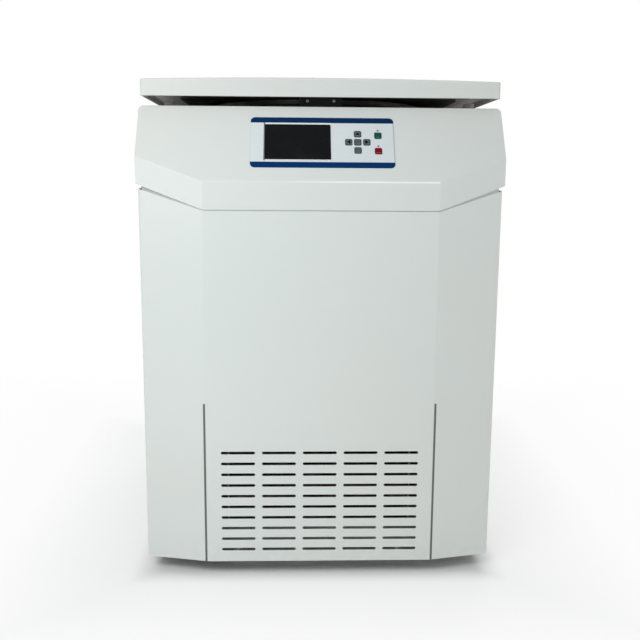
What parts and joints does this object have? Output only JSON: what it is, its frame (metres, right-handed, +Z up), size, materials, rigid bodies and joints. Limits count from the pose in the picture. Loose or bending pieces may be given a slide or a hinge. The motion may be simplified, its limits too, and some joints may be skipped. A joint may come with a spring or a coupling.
{
  "type": "microplate centrifuge",
  "caption": "Floor-standing microplate centrifuge: faceted cabinet with slotted grille, sloping console with keys, hinged lid, swing-out rotor and castors.",
  "frame": {"origin": "floor level, under the middle of the cabinet's footprint", "axes": "+Z up, -Y towards the console and grille, +X to the right of a person facing the front"},
  "size_m": [0.628, 0.72, 0.8763],
  "materials": {
    "cabinet_paint": "fine-textured semi-matt pale grey powder coat",
    "deck_paint": "pale grey powder coat",
    "frame_paint": "grey chassis primer",
    "motor_paint": "dark grey enamel",
    "black_paint": "gloss black enamel",
    "black_plastic": "matt black moulding",
    "clear_plastic": "clear acrylic",
    "dark_steel": "black-coated steel",
    "zinc_steel": "bright zinc plate",
    "hard_steel": "ground steel",
    "bright_steel": "plated screw heads",
    "armour_steel": "plain rolled steel",
    "stainless": "satin stainless sheet",
    "grey_rubber": "pale grey moulded rubber",
    "black_rubber": "black moulded rubber",
    "foam": "rigid insulation foam",
    "fin_aluminium": "black-coated pressed fins",
    "cast_aluminium": "die-cast box",
    "anodised_aluminium": "clear anodised",
    "overlay_film": "printed polyester film",
    "display_glass": "unlit display window",
    "board": "green circuit board",
    "grey_keys": "grey moulded keys",
    "green_key": "dark green moulded key",
    "red_key": "dark red moulded key",
    "wheel_plastic": "dark nylon wheels",
    "switch_plastic": "black rocker",
    "white_plastic": "pale moulded spigot"
  },
  "bodies": {
    "cabinet": {"front_panel": "cabinet_paint", "left_side_panel": "cabinet_paint", "right_side_panel": "cabinet_paint", "rear_panel": "cabinet_paint", "control_header": "cabinet_paint", "top_deck": "deck_paint", "hinge_brackets": "zinc_steel", "latch_housing": "zinc_steel", "lid_buffers": "grey_rubber", "chamber_gasket": "black_rubber", "chamber_liner": "stainless", "chamber_insulation": "foam", "guard_ring": "armour_steel", "drive_motor": "motor_paint", "motor_dampers": "black_rubber", "motor_bridge": "zinc_steel", "base_frame": "frame_paint", "condenser": "fin_aluminium", "fan_shroud": "black_plastic", "compressor": "black_paint", "inverter_box": "cast_aluminium", "control_overlay": "overlay_film", "display_screen": "display_glass", "control_board": "board", "castor_plates": "zinc_steel", "levelling_feet": "zinc_steel", "power_inlet": "black_plastic", "drain_spigot": "white_plastic", "panel_screws": "bright_steel"},
    "lid": {"lid_cover": "cabinet_paint", "lid_tray": "cabinet_paint", "lid_liner": "black_plastic", "lid_window": "clear_plastic", "lid_striker": "dark_steel", "hinge_leaves": "zinc_steel"},
    "rotor": {"drive_shaft": "hard_steel", "rotor_yoke": "anodised_aluminium", "rotor_nut": "hard_steel"},
    "carrier_1": {"plate_carrier_1": "anodised_aluminium"},
    "carrier_2": {"plate_carrier_2": "anodised_aluminium"},
    "carrier_3": {"plate_carrier_3": "anodised_aluminium"},
    "carrier_4": {"plate_carrier_4": "anodised_aluminium"},
    "key_up_cap": {"key_up": "grey_keys"},
    "key_down_cap": {"key_down": "grey_keys"},
    "key_left_cap": {"key_left": "grey_keys"},
    "key_right_cap": {"key_right": "grey_keys"},
    "key_enter_cap": {"key_enter": "grey_keys"},
    "key_start_cap": {"key_start": "green_key"},
    "key_stop_cap": {"key_stop": "red_key"},
    "fan": {"condenser_fan": "black_plastic"},
    "rocker": {"power_rocker": "switch_plastic"},
    "hook": {"latch_hook": "hard_steel"},
    "fork_front_left": {"castor_fork_front_left": "zinc_steel"},
    "wheel_front_left": {"castor_wheel_front_left": "wheel_plastic"},
    "fork_front_right": {"castor_fork_front_right": "zinc_steel"},
    "wheel_front_right": {"castor_wheel_front_right": "wheel_plastic"},
    "fork_rear_left": {"castor_fork_rear_left": "zinc_steel"},
    "wheel_rear_left": {"castor_wheel_rear_left": "wheel_plastic"},
    "fork_rear_right": {"castor_fork_rear_right": "zinc_steel"},
    "wheel_rear_right": {"castor_wheel_rear_right": "wheel_plastic"}
  },
  "joints": [
    {"name": "lid_hinge", "type": "hinge", "parent": "cabinet", "child": "lid", "pos_m": [0, 0.322, 0.843], "axis": [-1, 0, 0], "range_deg": [-1.2, 73.8]},
    {"name": "rotor_spin", "type": "hinge", "parent": "cabinet", "child": "rotor", "pos_m": [0, 0.0228, 0.735], "axis": [0, 0, 1], "continuous": true},
    {"name": "carrier_1_swing", "type": "hinge", "parent": "rotor", "child": "carrier_1", "pos_m": [0.122, 0.0228, 0.735], "axis": [0, -1, 0], "range_deg": [-5, 90]},
    {"name": "carrier_2_swing", "type": "hinge", "parent": "rotor", "child": "carrier_2", "pos_m": [0, 0.1448, 0.735], "axis": [1, 0, 0], "range_deg": [-5, 90]},
    {"name": "carrier_3_swing", "type": "hinge", "parent": "rotor", "child": "carrier_3", "pos_m": [-0.122, 0.0228, 0.735], "axis": [0, 1, 0], "range_deg": [-5, 90]},
    {"name": "carrier_4_swing", "type": "hinge", "parent": "rotor", "child": "carrier_4", "pos_m": [0, -0.0992, 0.735], "axis": [-1, 0, 0], "range_deg": [-5, 90]},
    {"name": "key_up_press", "type": "slide", "parent": "cabinet", "child": "key_up_cap", "axis": [0, 0.8321, -0.5547], "range_m": [0, 0.0006], "stiffness_N_per_m": 2500},
    {"name": "key_down_press", "type": "slide", "parent": "cabinet", "child": "key_down_cap", "axis": [0, 0.8321, -0.5547], "range_m": [0, 0.0006], "stiffness_N_per_m": 2500},
    {"name": "key_left_press", "type": "slide", "parent": "cabinet", "child": "key_left_cap", "axis": [0, 0.8321, -0.5547], "range_m": [0, 0.0006], "stiffness_N_per_m": 2500},
    {"name": "key_right_press", "type": "slide", "parent": "cabinet", "child": "key_right_cap", "axis": [0, 0.8321, -0.5547], "range_m": [0, 0.0006], "stiffness_N_per_m": 2500},
    {"name": "key_enter_press", "type": "slide", "parent": "cabinet", "child": "key_enter_cap", "axis": [0, 0.8321, -0.5547], "range_m": [0, 0.0006], "stiffness_N_per_m": 2500},
    {"name": "key_start_press", "type": "slide", "parent": "cabinet", "child": "key_start_cap", "axis": [0, 0.8321, -0.5547], "range_m": [0, 0.0006], "stiffness_N_per_m": 2500},
    {"name": "key_stop_press", "type": "slide", "parent": "cabinet", "child": "key_stop_cap", "axis": [0, 0.8321, -0.5547], "range_m": [0, 0.0006], "stiffness_N_per_m": 2500},
    {"name": "fan_spin", "type": "hinge", "parent": "cabinet", "child": "fan", "pos_m": [0, -0.2657, 0.196], "axis": [0, 1, 0], "continuous": true},
    {"name": "rocker_tilt", "type": "hinge", "parent": "cabinet", "child": "rocker", "pos_m": [-0.215, 0.352, 0.187], "axis": [-1, 0, 0], "range_deg": [0, 16]},
    {"name": "hook_turn", "type": "hinge", "parent": "cabinet", "child": "hook", "pos_m": [0, -0.264, 0.765], "axis": [-1, 0, 0], "range_deg": [0, 14]},
    {"name": "front_left_swivel", "type": "hinge", "parent": "cabinet", "child": "fork_front_left", "pos_m": [-0.225, -0.262, 0.078], "axis": [0, 0, 1], "continuous": true},
    {"name": "front_left_roll", "type": "hinge", "parent": "fork_front_left", "child": "wheel_front_left", "pos_m": [-0.225, -0.238, 0.03], "axis": [1, 0, 0], "continuous": true},
    {"name": "front_right_swivel", "type": "hinge", "parent": "cabinet", "child": "fork_front_right", "pos_m": [0.225, -0.262, 0.078], "axis": [0, 0, 1], "continuous": true},
    {"name": "front_right_roll", "type": "hinge", "parent": "fork_front_right", "child": "wheel_front_right", "pos_m": [0.225, -0.238, 0.03], "axis": [1, 0, 0], "continuous": true},
    {"name": "rear_left_swivel", "type": "hinge", "parent": "cabinet", "child": "fork_rear_left", "pos_m": [-0.225, 0.262, 0.078], "axis": [0, 0, 1], "continuous": true},
    {"name": "rear_left_roll", "type": "hinge", "parent": "fork_rear_left", "child": "wheel_rear_left", "pos_m": [-0.225, 0.286, 0.03], "axis": [1, 0, 0], "continuous": true},
    {"name": "rear_right_swivel", "type": "hinge", "parent": "cabinet", "child": "fork_rear_right", "pos_m": [0.225, 0.262, 0.078], "axis": [0, 0, 1], "continuous": true},
    {"name": "rear_right_roll", "type": "hinge", "parent": "fork_rear_right", "child": "wheel_rear_right", "pos_m": [0.225, 0.286, 0.03], "axis": [1, 0, 0], "continuous": true}
  ]
}
